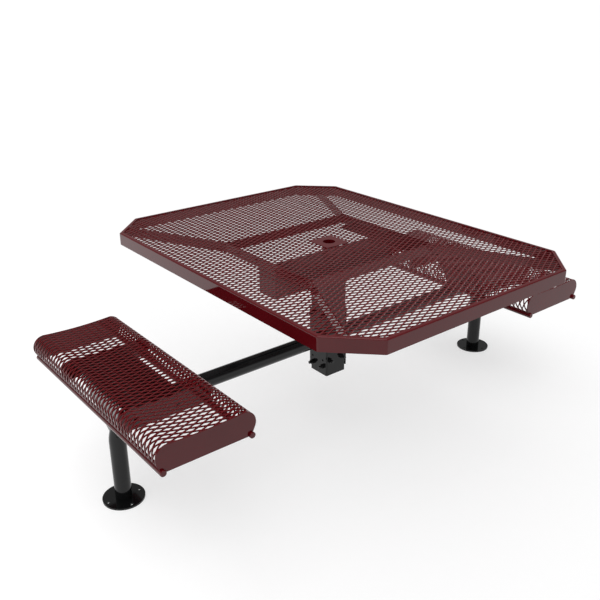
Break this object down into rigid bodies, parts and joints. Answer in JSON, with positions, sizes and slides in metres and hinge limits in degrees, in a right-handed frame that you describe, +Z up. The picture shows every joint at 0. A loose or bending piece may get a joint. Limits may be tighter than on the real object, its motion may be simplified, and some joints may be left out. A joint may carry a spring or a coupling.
{
  "type": "picnic table",
  "caption": "Octagonal expanded-metal picnic table with an umbrella hole, a central square post and rolled-edge bench seats on bent tube arms.",
  "frame": {"origin": "on the floor, below the middle of the hub post and of the umbrella hole", "axes": "+X from the left seat to the right seat, +Y along the seats to the back, +Z up"},
  "size_m": [2.112, 1.55, 0.762],
  "materials": {
    "burgundy_coating": "smooth glossy plastic coating, burgundy",
    "black_powder_coat": "gloss black powder coat",
    "black_fasteners": "black, a little duller than the powder coat"
  },
  "bodies": {
    "root": {"arm_plate_left": "black_powder_coat", "arm_plate_right": "black_powder_coat", "arm_tube_left": "black_powder_coat", "arm_tube_right": "black_powder_coat", "beam_angle_left": "black_powder_coat", "beam_angle_right": "black_powder_coat", "beam_end_cap_left": "black_powder_coat", "beam_end_cap_right": "black_powder_coat", "corner_brace_back_left": "burgundy_coating", "corner_brace_back_right": "burgundy_coating", "corner_brace_front_left": "burgundy_coating", "corner_brace_front_right": "burgundy_coating", "floor_flange_left": "black_powder_coat", "floor_flange_right": "black_powder_coat", "frame_bar_back": "burgundy_coating", "frame_bar_front": "burgundy_coating", "frame_bar_left": "burgundy_coating", "frame_bar_right": "burgundy_coating", "hub_bolts": "black_fasteners", "hub_nuts": "black_fasteners", "hub_post": "black_powder_coat", "inner_gusset_left": "black_powder_coat", "inner_gusset_right": "black_powder_coat", "outer_gusset_left": "black_powder_coat", "outer_gusset_right": "black_powder_coat", "seat_bolts_left": "black_fasteners", "seat_bolts_right": "black_fasteners", "seat_bracket_left": "black_powder_coat", "seat_bracket_right": "black_powder_coat", "seat_end_plate_left_back": "burgundy_coating", "seat_end_plate_left_front": "burgundy_coating", "seat_end_plate_right_back": "burgundy_coating", "seat_end_plate_right_front": "burgundy_coating", "seat_mesh_left": "burgundy_coating", "seat_mesh_right": "burgundy_coating", "seat_nuts_left": "black_fasteners", "seat_nuts_right": "black_fasteners", "seat_rib_left_back": "burgundy_coating", "seat_rib_left_front": "burgundy_coating", "seat_rib_right_back": "burgundy_coating", "seat_rib_right_front": "burgundy_coating", "seat_rod_left_inner": "burgundy_coating", "seat_rod_left_outer": "burgundy_coating", "seat_rod_right_inner": "burgundy_coating", "seat_rod_right_outer": "burgundy_coating", "support_beam": "black_powder_coat", "top_bolts": "black_fasteners", "top_mesh": "burgundy_coating", "top_nuts": "black_fasteners", "top_rim": "burgundy_coating", "umbrella_plate": "burgundy_coating", "umbrella_sleeve": "burgundy_coating"}
  },
  "joints": []
}
